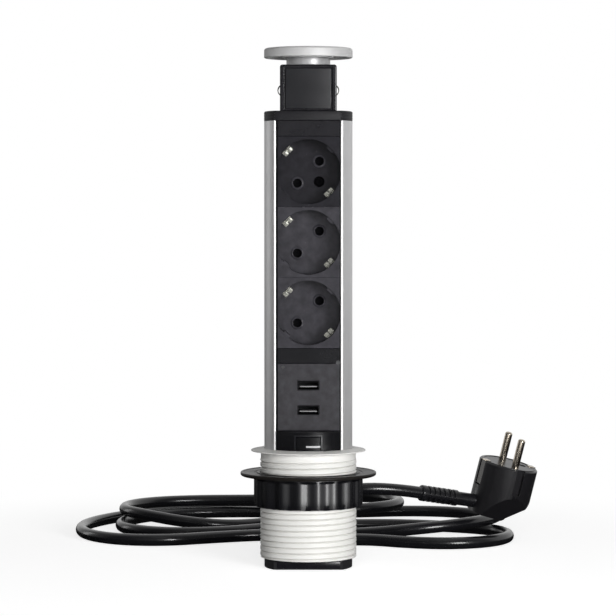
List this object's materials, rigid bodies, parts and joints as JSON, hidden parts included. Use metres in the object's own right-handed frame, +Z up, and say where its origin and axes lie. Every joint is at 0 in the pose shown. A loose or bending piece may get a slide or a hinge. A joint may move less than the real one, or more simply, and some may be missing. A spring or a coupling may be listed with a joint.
{
  "type": "round desk socket",
  "caption": "Round pull-up desk socket: an aluminium tower of earthed sockets and USB ports slides up through a threaded desk sleeve with a clamp washer and nut; flex with an angled plug.",
  "frame": {"origin": "middle of the tower's foot, on the plane that it stands on", "axes": "+Z up along the tower, front with the sockets towards -Y"},
  "size_m": [0.306, 0.3361, 0.3162],
  "materials": {
    "white_sleeve": "white moulded plastic, satin",
    "washer_plastic": "dark moulded plastic, fine grain",
    "nut_plastic": "black moulded plastic, glossy",
    "profile_aluminium": "anodised extrusion, fine drawing lines",
    "insert_plastic": "black moulded plastic, satin",
    "gloss_plastic": "black moulded plastic, glossy",
    "inner_plastic": "black engineering plastic",
    "earth_steel": "nickel-plated spring strip",
    "contact_brass": "pressed brass",
    "shell_steel": "nickel-plated shell",
    "circuit_board": "glass-fibre board with green resist",
    "transformer": "wound ferrite with yellow tape",
    "capacitor_sleeve": "dark plastic sleeve",
    "spring_steel": "spring wire",
    "catch_metal": "bronze spring leaf, darkened",
    "neck_metal": "turned aluminium",
    "cap_silver": "satin silver finish",
    "plug_plastic": "black moulded plug",
    "pin_nickel": "nickel-plated brass",
    "flex_rubber": "black round flex, satin",
    "wire_copper": "insulated conductors"
  },
  "bodies": {
    "sleeve": {"sleeve": "white_sleeve"},
    "clamp_washer": {"clamp_washer": "washer_plastic"},
    "clamp_nut": {"clamp_nut": "nut_plastic"},
    "tower": {"tower_profile": "profile_aluminium", "blank_panel": "insert_plastic", "socket_lower": "insert_plastic", "socket_middle": "insert_plastic", "socket_upper": "insert_plastic", "earth_clip_lower": "earth_steel", "earth_clip_middle": "earth_steel", "earth_clip_upper": "earth_steel", "line_busbar": "contact_brass", "neutral_busbar": "contact_brass", "earth_busbar": "contact_brass", "contact_carrier": "inner_plastic", "spacer_strip": "insert_plastic", "usb_panel": "insert_plastic", "usb_shells": "shell_steel", "usb_tongues": "inner_plastic", "usb_board": "circuit_board", "usb_transformer": "transformer", "usb_capacitors": "capacitor_sleeve", "latch_housing": "gloss_plastic", "button_spring": "spring_steel", "stop_collar": "inner_plastic", "lower_panel": "insert_plastic", "bottom_cap": "insert_plastic", "cord_boot": "flex_rubber", "terminal_block": "inner_plastic", "inner_wires": "wire_copper", "lower_carrier": "inner_plastic", "top_end_cap": "insert_plastic", "head_block": "insert_plastic", "head_panel": "insert_plastic", "cap_neck": "neck_metal", "cap_disc": "cap_silver", "plug_body": "plug_plastic", "plug_pins": "pin_nickel", "plug_earth_contacts": "pin_nickel", "plug_strain_relief": "flex_rubber", "cord": "flex_rubber"},
    "release_button": {"release_button": "gloss_plastic"},
    "head_catch_left": {"head_catch_left": "catch_metal"},
    "head_catch_right": {"head_catch_right": "catch_metal"}
  },
  "joints": [
    {"name": "tower_slide", "type": "slide", "parent": "sleeve", "child": "tower", "axis": [0, 0, 1], "range_m": [-0.2443, 0]},
    {"name": "washer_slide", "type": "slide", "parent": "sleeve", "child": "clamp_washer", "axis": [0, 0, 1], "range_m": [-0.028, 0.0115]},
    {"name": "nut_turn", "type": "hinge", "parent": "clamp_washer", "child": "clamp_nut", "pos_m": [0, 0, 0.0465], "axis": [0, 0, 1], "range_deg": [-2960, 1215]},
    {"name": "button_press", "type": "slide", "parent": "tower", "child": "release_button", "axis": [0, 1, 0], "range_m": [0, 0.003], "stiffness_N_per_m": 400, "springref_m": -0.001, "deforming": ["button_spring"]},
    {"name": "catch_left_press", "type": "slide", "parent": "tower", "child": "head_catch_left", "axis": [1, 0, 0], "range_m": [0, 0.0016], "stiffness_N_per_m": 600, "springref_m": -0.0005},
    {"name": "catch_right_press", "type": "slide", "parent": "tower", "child": "head_catch_right", "axis": [-1, 0, 0], "range_m": [0, 0.0016], "stiffness_N_per_m": 600, "springref_m": -0.0005}
  ],
  "couplings": [
    {"joint": "washer_slide", "follows": "nut_turn", "m_per_rad": 0.00054113}
  ]
}
